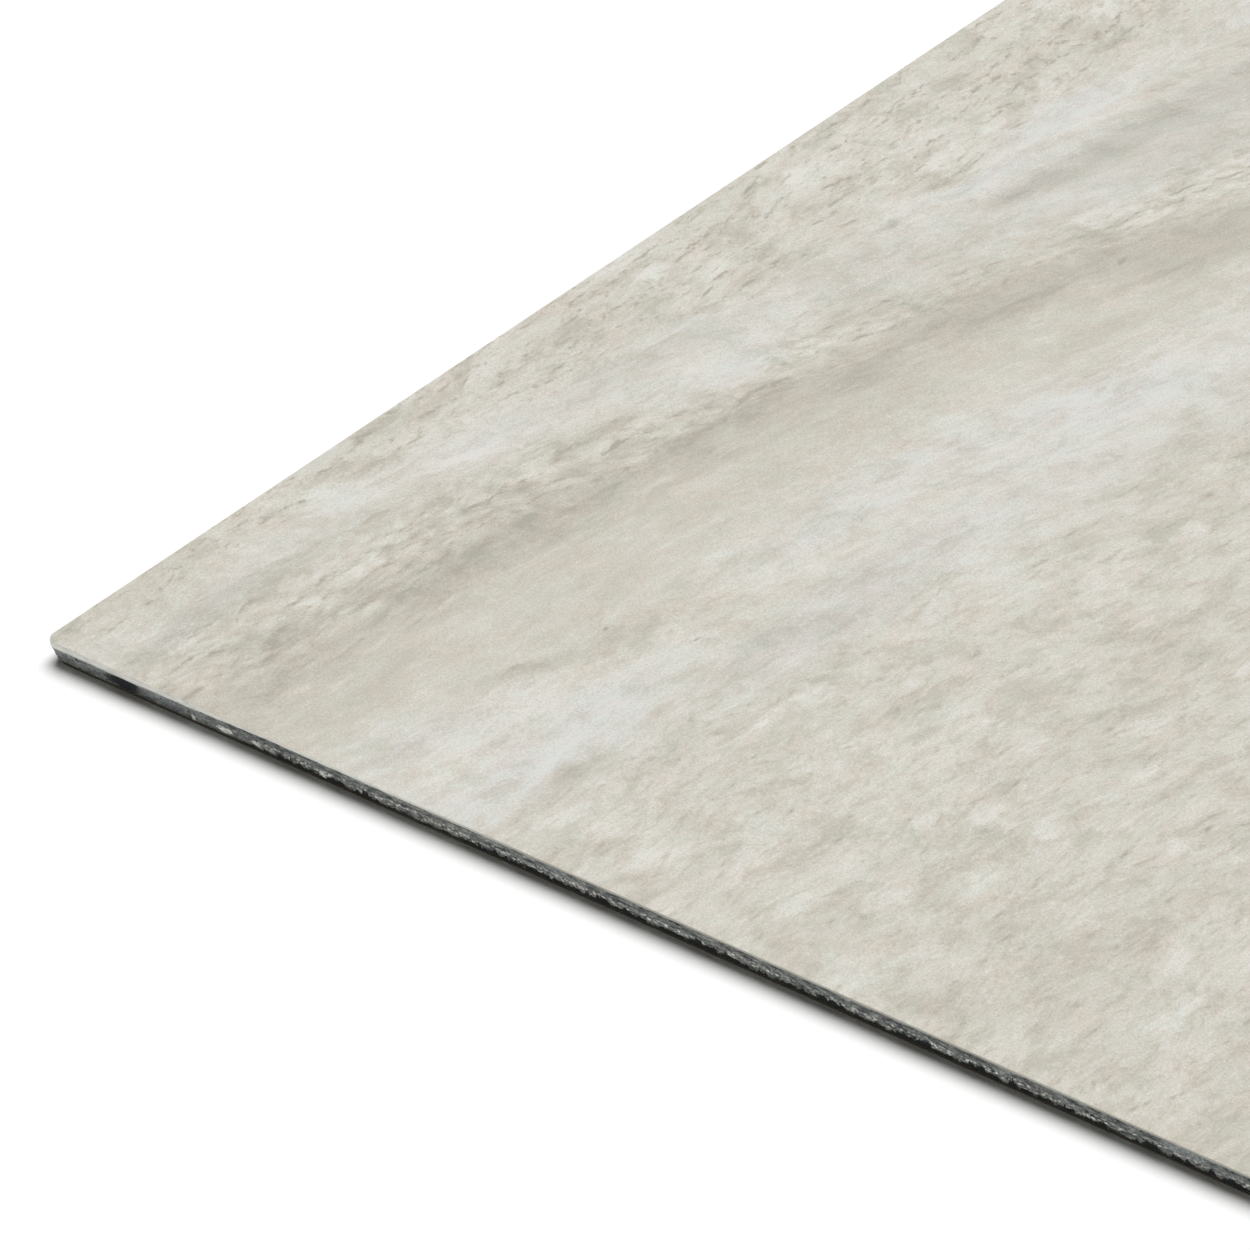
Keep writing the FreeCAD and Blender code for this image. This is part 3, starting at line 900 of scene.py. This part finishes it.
def painted_hollow_shade(tree, at, by_corner):
    """Where shade is painted near black: the chip and a few others where lumps came away, and pockets along
    the foot.

    The pockets are deep in some stretches and no more than a thin line in others, and far from the corner
    they are deep nearly everywhere.
    """
    torn_patches = edge_lumps(tree, at, 1.9, 1.0, detail=3.0)
    others = add(
        tree,
        "ShaderNodeMapRange",
        {"Value": torn_patches, "From Min": 0.64, "From Max": 0.7, "To Min": 0, "To Max": 0.9},
        interpolation_type="SMOOTHSTEP",
    )
    chip = edge_spot(tree, at, EDGE_CHIP, fade=0.3)
    chip = add(tree, "ShaderNodeMath", {0: chip, 1: others}, operation="MAXIMUM")

    # Both noises of the pockets are the same at all heights, because their lumps are 50 mm high.
    all_heights = 50.0
    pocket_depth = 0.9
    stretches = edge_lumps(tree, at, 11.0, all_heights, detail=1.0)
    deep = add(
        tree,
        "ShaderNodeMapRange",
        {"Value": stretches, "From Min": 0.4, "From Max": 0.56, "To Min": 0.12, "To Max": 1},
        interpolation_type="SMOOTHSTEP",
    )
    far = add(
        tree,
        "ShaderNodeMapRange",
        {"Value": at.distance, "From Min": 33, "From Max": 45, "To Min": 0, "To Max": 0.75},
    )
    deep = add(tree, "ShaderNodeMath", {0: by_corner, 1: -1.0, 2: deep}, operation="MULTIPLY_ADD")
    deep = add(tree, "ShaderNodeMath", {0: far, 1: deep}, operation="ADD", use_clamp=True)
    teeth = edge_lumps(tree, at, 0.9, all_heights, detail=3.0)
    pockets = add(
        tree,
        "ShaderNodeMapRange",
        {"Value": teeth, "From Min": 0.35, "From Max": 0.65, "To Min": 0, "To Max": pocket_depth},
    )
    pockets = add(tree, "ShaderNodeMath", {0: pockets, 1: deep}, operation="MULTIPLY")

    # Below this height the foot is painted black as shade, wherever no pocket reaches higher.
    thin_line, raggedness, fade = 0.22, 0.24, 0.08
    above = add(tree, "ShaderNodeMath", {0: at.height, 1: pockets}, operation="SUBTRACT")
    above = add(
        tree, "ShaderNodeMath", {0: at.ragged, 1: raggedness, 2: above}, operation="MULTIPLY_ADD"
    )
    rim = thin_line + raggedness / 2
    foot = add(
        tree,
        "ShaderNodeMapRange",
        {"Value": above, "From Min": rim + fade, "From Max": rim - fade, "To Min": 0, "To Max": 1},
        interpolation_type="SMOOTHSTEP",
    )
    return add(tree, "ShaderNodeMath", {0: chip, 1: foot}, operation="MAXIMUM")


def filled_vinyl_core():
    """Calendered recycled PVC, heavy with ground limestone, torn by the die.

    To the eye it is charcoal and streaked along the edge, with a broken row of pale stone grains at half
    height, misty smears where the die drew the film over it, and near-black painted shade in pockets where
    its foot broke away.
    """
    material, tree = new_material("filled_vinyl_core")
    at = edge_places(tree)
    by_corner = add(
        tree,
        "ShaderNodeMapRange",
        {"Value": at.distance, "From Min": 20, "From Max": 12, "To Min": 0, "To Max": 1},
        interpolation_type="SMOOTHSTEP",
    )

    streaks = add(tree, "ShaderNodeValToRGB", {0: edge_lumps(tree, at, 1.1, 0.3, detail=4.0)})
    shape_ramp(
        streaks.color_ramp,
        [
            (0.3, linear("272b2d")),
            (0.42, linear("535759")),
            (0.52, linear("757978")),
            (0.62, linear("8c908e")),
            (0.74, linear("b3b6b1")),
        ],
    )

    # The smears are paler the higher they lie, because there is more film in them.
    mist_height = add(tree, "ShaderNodeMapRange", {"Value": at.height, "From Min": 0.3, "From Max": 1.6})
    mist = add(tree, "ShaderNodeValToRGB", {0: mist_height})
    shape_ramp(
        mist.color_ramp, [(0.0, linear("3e4143")), (0.55, linear("6e7376")), (1.0, linear("9aa1a6"))]
    )

    colour = streaks.outputs["Color"]
    # The last share is painted shade: near black in the hollows and along the foot.
    for share, over in (
        (film_smears(tree, at, by_corner), mist),
        (pale_grains(tree, at), linear("dedfdb")),
        (painted_hollow_shade(tree, at, by_corner), linear("14171a")),
    ):
        mixed = add(tree, "ShaderNodeMix", {"Factor": share, "A": colour, "B": over}, data_type="RGBA")
        colour = mixed.outputs["Result"]

    # Fine grit of about 0.2 mm, in the colour and in the surface.
    crumb_height = 0.1
    grit = edge_lumps(tree, at, 0.22, 0.16, detail=2.0)
    grit_shade = add(
        tree,
        "ShaderNodeMapRange",
        {"Value": grit, "From Min": 0.3, "From Max": 0.7, "To Min": 0.45, "To Max": 1.55},
    )
    gritty = add(tree, "ShaderNodeVectorMath", {0: colour, "Scale": grit_shade}, operation="SCALE")
    bump = add(
        tree, "ShaderNodeBump", {"Height": grit, "Strength": 0.8, "Distance": crumb_height * MM}
    )
    shader = add(
        tree,
        "ShaderNodeBsdfPrincipled",
        {
            "Base Color": gritty,
            "Roughness": 0.7,
            "IOR": 1.53,
            "Specular IOR Level": 0.2,
            "Normal": bump,
        },
    )
    add(tree, "ShaderNodeOutputMaterial", {"Surface": shader})
    return material


def painted_shade_edge(tree, colour):
    """The colour of a thin layer, drawn near black on its cut edge as painted shade, as under the core's
    overhang.
    """
    # Painted shade: the near-black colour put on the cut edge.
    darkening = linear("1c1c1c")
    normal = add(tree, "ShaderNodeNewGeometry").outputs["Normal"]
    upright = add(tree, "ShaderNodeSeparateXYZ", {0: normal}).outputs["Z"]
    upright = add(tree, "ShaderNodeMath", {0: upright}, operation="ABSOLUTE")
    on_edge = add(
        tree,
        "ShaderNodeMapRange",
        {"Value": upright, "From Min": 0.7, "From Max": 0.3, "To Min": 0, "To Max": 0.95},
    )
    mixed = add(tree, "ShaderNodeMix", {"Factor": on_edge, "A": colour, "B": darkening}, data_type="RGBA")
    return mixed.outputs["Result"]


def hot_melt_adhesive():
    """Pressure-sensitive rubber adhesive, slot-coated: amber, clear and wet-looking.

    To the eye it has faint coating lines along the tile, some 1.4 mm apart.
    """
    lines_per_mm = (0.7, 0.03, 0.7)
    line_height = 0.02
    material, tree = new_material("hot_melt_adhesive")
    place = add(tree, "ShaderNodeTexCoord").outputs["Object"]
    line_place = add(
        tree, "ShaderNodeVectorMath", {0: place, 1: [n / MM for n in lines_per_mm]}, operation="MULTIPLY"
    )
    lines = add(tree, "ShaderNodeTexNoise", {"Vector": line_place, "Scale": 1.0, "Detail": 2.0})
    tint = add(tree, "ShaderNodeValToRGB", {0: lines})
    shape_ramp(tint.color_ramp, [(0.35, linear("b3a680")), (0.65, linear("cbbf9b"))])
    bump = add(
        tree, "ShaderNodeBump", {"Height": lines, "Strength": 1.0, "Distance": line_height * MM}
    )
    # Its cut edge is drawn near black, as painted shade.
    shader = add(
        tree,
        "ShaderNodeBsdfPrincipled",
        {"Base Color": painted_shade_edge(tree, tint), "Roughness": 0.22, "IOR": 1.48, "Normal": bump},
    )
    add(tree, "ShaderNodeOutputMaterial", {"Surface": shader})
    return material


def siliconed_release_paper():
    """Supercalendered kraft with a silicone coat: off-white, clouded by its fibres, with a low waxy sheen.

    The fibres are drawn 0.4 mm thick and 2 mm long, some ten times too coarse, so that they show at all.
    """
    clouds_per_mm = (0.14, 0.09, 0.14)
    fibres_per_mm = (2.5, 0.5, 2.5)
    fibre_height = 0.01
    material, tree = new_material("siliconed_release_paper")
    place = add(tree, "ShaderNodeTexCoord").outputs["Object"]
    cloud_place = add(
        tree, "ShaderNodeVectorMath", {0: place, 1: [n / MM for n in clouds_per_mm]}, operation="MULTIPLY"
    )
    clouds = add(
        tree, "ShaderNodeTexNoise", {"Vector": cloud_place, "Scale": 1.0, "Detail": 5.0, "Roughness": 0.7}
    )
    fibre_place = add(
        tree, "ShaderNodeVectorMath", {0: place, 1: [n / MM for n in fibres_per_mm]}, operation="MULTIPLY"
    )
    fibres = add(tree, "ShaderNodeTexNoise", {"Vector": fibre_place, "Scale": 1.0, "Detail": 3.0})
    mixed = add(tree, "ShaderNodeMath", {0: fibres, 1: 0.4, 2: clouds}, operation="MULTIPLY_ADD")
    tint = add(tree, "ShaderNodeValToRGB", {0: mixed})
    shape_ramp(
        tint.color_ramp, [(0.5, linear("d9d4c6")), (0.7, linear("e6e2d7")), (0.9, linear("efece3"))]
    )
    bump = add(
        tree, "ShaderNodeBump", {"Height": fibres, "Strength": 1.0, "Distance": fibre_height * MM}
    )
    # Its cut edge is drawn near black, as painted shade.
    shader = add(
        tree,
        "ShaderNodeBsdfPrincipled",
        {"Base Color": painted_shade_edge(tree, tint), "Roughness": 0.38, "IOR": 1.45, "Normal": bump},
    )
    add(tree, "ShaderNodeOutputMaterial", {"Surface": shader})
    return material


def film_foot(points):
    """Height of the line where the film's cut edge ends on the core.

    It wanders, and the die drew the film down over the core by the photographed corner.
    """
    ends_above, drawn_down, slow_waves, quick_waves = 0.09, 0.36, 0.03, 0.035
    lowest, highest = FILM_FOOT_Z - 0.3, FACE_Z - FILM_ROUND - 0.02
    from_corner = np.hypot(points[:, 0] - PHOTO_CORNER[0], points[:, 1] - PHOTO_CORNER[1])
    flat = np.column_stack([points, np.zeros(len(points))])
    waves = slow_waves * wander(flat, 9.0, seed=3) + quick_waves * wander(flat, 0.9, seed=4)
    drawn = drawn_down * ease(24.0, 9.0, from_corner)
    return np.clip(FILM_FOOT_Z + ends_above - drawn + waves, lowest, highest)


def make_face_film(print_material, edge_material):
    """The printed film: a gently uneven embossed face, a rolled rim, a cut edge and a flat underside."""
    cell, fine, arc = 1.75, 4, 8    # the grid's spacing, and the rim's steps for each cell and each corner
    relief_depth, flat_rim = 0.05, 4.0
    cells_x = round((TILE_WIDTH - 2 * FACE_CORNER_RADIUS) / cell)
    cells_y = round((TILE_LENGTH - 2 * FACE_CORNER_RADIUS) / cell)

    def ring(inset, z):
        points, normals = outline(inset, FACE_CORNER_RADIUS - inset, cells_x * fine, cells_y * fine, arc)
        return np.column_stack([points, np.broadcast_to(z, len(points))]), normals

    half_x = TILE_WIDTH / 2 - FACE_CORNER_RADIUS
    half_y = TILE_LENGTH / 2 - FACE_CORNER_RADIUS
    xs = np.linspace(-half_x, half_x, cells_x + 1)
    ys = np.linspace(-half_y, half_y, cells_y + 1)
    grid_x, grid_y = np.meshgrid(xs, ys)
    grid = np.column_stack([grid_x.ravel(), grid_y.ravel(), np.zeros(grid_x.size)])
    from_rim = np.minimum(half_x - abs(grid[:, 0]), half_y - abs(grid[:, 1]))
    waves = 0.6 * wander(grid, (9.0, 26.0, 9.0), seed=1) + 0.4 * wander(grid, (3.0, 7.0, 3.0), seed=2)
    grid[:, 2] = FACE_Z - relief_depth * ease(0, flat_rim, from_rim) * np.clip(0.5 + waves, 0, 1)

    vertices = [grid]
    count = len(grid)
    number = np.arange(count).reshape(cells_y + 1, cells_x + 1)
    quads = np.stack([number[:-1, :-1], number[:-1, 1:], number[1:, 1:], number[1:, :-1]], -1)
    faces = quads.reshape(-1, 4).tolist()

    # The rim's rings, from the flat of the face over the roll and down the cut edge, with its foot drawn in.
    rings = []
    roll_steps, printed_roll_steps = 3, 1
    for i in range(roll_steps + 1):
        angle = math.pi / 2 * i / roll_steps
        inset = FILM_ROUND * (1 - math.sin(angle))
        rings.append(ring(inset, FACE_Z - FILM_ROUND * (1 - math.cos(angle)))[0])
    drawn_in, drawn_in_waves, most_drawn_in = 0.02, 0.015, 0.05
    rim, outwards = ring(0.0, 0.0)
    foot_z = film_foot(rim[:, :2])
    pull_in = drawn_in + drawn_in_waves * wander(rim, 0.8, seed=5)
    foot = rim.copy()
    foot[:, :2] -= outwards * np.clip(pull_in, 0, most_drawn_in)[:, None]
    foot[:, 2] = foot_z
    middle = rim.copy()
    middle[:, 2] = lerp(FACE_Z - FILM_ROUND, foot_z, 0.5)
    underside_inset = 0.25
    rings += [middle, foot, ring(underside_inset, FILM_FOOT_Z)[0]]
    ring_numbers = []
    for points in rings:
        vertices.append(points)
        ring_numbers.append(np.arange(count, count + len(points)))
        count += len(points)

    # Each cell on the grid's border is joined to the finer ring beside it by one face.
    border = [number[0, :], number[:, -1], number[-1, ::-1], number[::-1, 0]]
    outer = ring_numbers[0]
    start = 0
    for side in border:
        for a, b in zip(side[:-1], side[1:]):
            edge = [int(outer[(start + i) % len(outer)]) for i in range(fine + 1)]
            faces.append([int(b), int(a)] + edge)
            start += fine
        edge = [int(outer[(start + i) % len(outer)]) for i in range(arc + 1)]
        faces.append([int(side[-1])] + edge)
        start += arc
    printed_faces = len(faces)
    for i, (upper, lower) in enumerate(zip(ring_numbers[:-1], ring_numbers[1:])):
        faces += band(lower, upper)
        if i < printed_roll_steps:
            printed_faces = len(faces)
    faces += cover(ring_numbers[-1], facing_up=False)
    slots = [0] * printed_faces + [1] * (len(faces) - printed_faces)
    return new_piece(
        "printed_face_film",
        np.vstack(vertices),
        faces,
        [print_material, edge_material],
        slots,
        "face_film",
    )


def core_inset(z):
    """How far the core's side is inside the face's outline at a height, as the solid has it."""
    flare = EDGE_UNDERCUT * np.clip((FILM_FOOT_Z - z) / (FILM_FOOT_Z - CORE_FLARE_FOOT), 0, 1)
    below_round = np.clip((CORE_FOOT_Z + CORE_ROUND - z) / CORE_ROUND, 0, 1)
    return flare + CORE_ROUND * (1 - np.sqrt(1 - below_round ** 2))


def torn_depth(points, z):
    """How deep the die tore the core's side at each point, with its foot broken away further."""
    lump_depth, crumb_depth, foot_depth = 0.05, 0.05, 0.12
    foot_starts, foot_ends, foot_waves = 0.75, 0.45, 0.3
    spots = np.column_stack([points, z])
    lumps = lump_depth * wander(spots, (1.8, 1.8, 0.6), seed=6)
    crumbs = crumb_depth * wander(spots, (0.5, 0.5, 0.25), seed=7)
    foot_line = foot_waves * wander(spots * (1, 1, 0), 0.9, seed=8)
    return lumps + crumbs + foot_depth * ease(foot_starts, foot_ends, z + foot_line)


def make_vinyl_core(material):
    """The core: a torn side all round between two flat faces."""
    spacing, arc, rows = 0.3, 10, 10    # between the side's points, steps round a corner, and rows of points
    least_depth = 0.02
    flat_inset, flat_radius = 1.2, 0.2
    corner_opening = 1.4    # the corner has the back's radius from the foot of the flare down
    steps_x = round((TILE_WIDTH - 2 * FACE_CORNER_RADIUS) / spacing)
    steps_y = round((TILE_LENGTH - 2 * FACE_CORNER_RADIUS) / spacing)
    top_points, _ = outline(0.0, FACE_CORNER_RADIUS, steps_x, steps_y, arc)
    top_z = film_foot(top_points)

    vertices, numbers = [], []
    for row in range(rows + 1):
        t = row / rows
        z = lerp(top_z, CORE_FOOT_Z, t)
        radius = lerp(FACE_CORNER_RADIUS, BACK_CORNER_RADIUS, min(1.0, t * corner_opening))
        points, outwards = outline(0.0, radius, steps_x, steps_y, arc)
        depth = np.maximum(core_inset(z) + torn_depth(points, z), least_depth)
        points = points - outwards * depth[:, None]
        vertices.append(np.column_stack([points, z]))
        numbers.append(np.arange(row * len(points), (row + 1) * len(points)))
    ring_length = len(vertices[0])
    for z in (FILM_FOOT_Z, CORE_FOOT_Z):
        points, _ = outline(flat_inset, flat_radius, steps_x, steps_y, arc)
        vertices.append(np.column_stack([points, np.full(len(points), z)]))
        numbers.append(np.arange(len(numbers) * ring_length, (len(numbers) + 1) * ring_length))

    faces = []
    for upper, lower in zip(numbers[:rows], numbers[1:rows + 1]):
        faces += band(lower, upper)
    top_flat, bottom_flat = numbers[rows + 1:]
    faces += band(numbers[0], top_flat)
    faces += band(bottom_flat, numbers[rows])
    faces += cover(top_flat, facing_up=True)
    faces += cover(bottom_flat, facing_up=False)
    return new_piece(
        "torn_vinyl_core",
        np.vstack(vertices),
        faces,
        [material],
        [0] * len(faces),
        "vinyl_core",
        smooth=False,
    )


def shown_plainly(tree):
    """1 where the lens, a reflection or a clear thing shows a surface, 0 where it only sends light on."""
    path = add(tree, "ShaderNodeLightPath")
    shown = path.outputs["Is Camera Ray"]
    for way in ("Is Glossy Ray", "Is Transmission Ray"):
        shown = add(tree, "ShaderNodeMath", {0: shown, 1: path.outputs[way]}, operation="MAXIMUM")
    return shown


def painted_white_sweep():
    """Matt white paint on a studio sweep: pure white to look at, and it throws back a little less light."""
    material, tree = new_material("painted_white_sweep")
    paint = linear("f1f1f1")
    seen = (1.13, 1.13, 1.13, 1.0)    # over 1, because the lamps bring the floor a little less than white
    colour = add(
        tree,
        "ShaderNodeMix",
        {"Factor": shown_plainly(tree), "A": paint, "B": seen},
        data_type="RGBA",
    )
    shader = add(tree, "ShaderNodeBsdfDiffuse", {"Color": colour.outputs["Result"]})
    add(tree, "ShaderNodeOutputMaterial", {"Surface": shader})
    return material


def make_floor():
    """A flat sweep that reaches 12 m to each side, so that no view shows its end."""
    reach = 12.0
    corners = [(-reach, -reach, 0), (reach, -reach, 0), (reach, reach, 0), (-reach, reach, 0)]
    mesh = bpy.data.meshes.new("floor")
    mesh.from_pydata(corners, [], [(0, 1, 2, 3)])
    mesh.materials.append(painted_white_sweep())
    floor = bpy.data.objects.new("floor", mesh)
    bpy.context.scene.collection.objects.link(floor)
    return floor


def make_world(strength):
    """Faint warm light from all round, and pure white wherever it shows."""
    warm, white = (1.0, 0.92, 0.72, 1.0), (1.0, 1.0, 1.0, 1.0)
    world = bpy.data.worlds.new("studio")
    world.use_nodes = True
    tree = world.node_tree
    tree.nodes.clear()
    seen = shown_plainly(tree)
    level = add(
        tree,
        "ShaderNodeMapRange",
        {"Value": seen, "From Min": 0, "From Max": 1, "To Min": strength, "To Max": 1.0},
    )
    colour = add(tree, "ShaderNodeMix", {"Factor": seen, "A": warm, "B": white}, data_type="RGBA")
    background = add(tree, "ShaderNodeBackground", {"Color": colour.outputs["Result"], "Strength": level})
    add(tree, "ShaderNodeOutputWorld", {"Surface": background})
    bpy.context.scene.world = world


def make_lamp(name, azimuth, elevation, spread, level, colour=(1, 1, 1)):
    """A wide far lamp, so that the light is as even as in a large studio.

    Azimuth and elevation are where it stands, as for the camera, and spread is its width in degrees. A white
    surface that faces a lamp of level 1 comes out white.
    """
    data = bpy.data.lights.new(name, "SUN")
    data.angle = math.radians(spread)
    data.energy = level * math.pi
    data.color = colour
    lamp = bpy.data.objects.new(name, data)
    lamp.rotation_euler = direction(azimuth, elevation).to_track_quat("Z", "Y").to_euler()
    bpy.context.scene.collection.objects.link(lamp)


# The camera, set so that the tile's corner and its two edges lie where the photo has them: in degrees, in
# metres for the distance and the clip, and in millimetres for the lens, the sensor and the spot that it aims
# at, in and up from the corner.
CAMERA_AZIMUTH = 37.3422
CAMERA_ELEVATION = 33.5155
CAMERA_DISTANCE = 0.53419
CAMERA_LENS = 200.0
SENSOR_WIDTH = 36.0
CLIP_START = 0.02
AIM_FROM_CORNER = (34.30, 28.54)


def make_camera():
    """A long lens at the photo's angle, aimed at a spot on the face in from the photographed corner."""
    x, y = PHOTO_CORNER + AIM_FROM_CORNER
    aim = Vector((x * MM, y * MM, FACE_Z * MM))
    back = direction(CAMERA_AZIMUTH, CAMERA_ELEVATION)
    data = bpy.data.cameras.new("camera")
    data.lens = CAMERA_LENS
    data.sensor_width = SENSOR_WIDTH
    data.clip_start = CLIP_START
    camera = bpy.data.objects.new("camera", data)
    camera.location = aim + back * CAMERA_DISTANCE
    camera.rotation_euler = back.to_track_quat("Z", "Y").to_euler()
    bpy.context.scene.collection.objects.link(camera)
    bpy.context.scene.camera = camera


make_face_film(printed_vinyl_film(), cut_film_edge())
make_vinyl_core(filled_vinyl_core())
for node, material in (
    ("adhesive_coat", hot_melt_adhesive()),
    ("release_liner", siliconed_release_paper()),
):
    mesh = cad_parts[node].data
    mesh.materials.clear()
    mesh.materials.append(material)

make_floor()
make_camera()
make_world(strength=0.018)
make_lamp("key", azimuth=205, elevation=63, spread=52, level=0.99)
make_lamp("front_fill", azimuth=15, elevation=2, spread=8, level=0.42, colour=(1.0, 0.97, 0.88))

scene = bpy.context.scene
scene.view_settings.view_transform = "Standard"
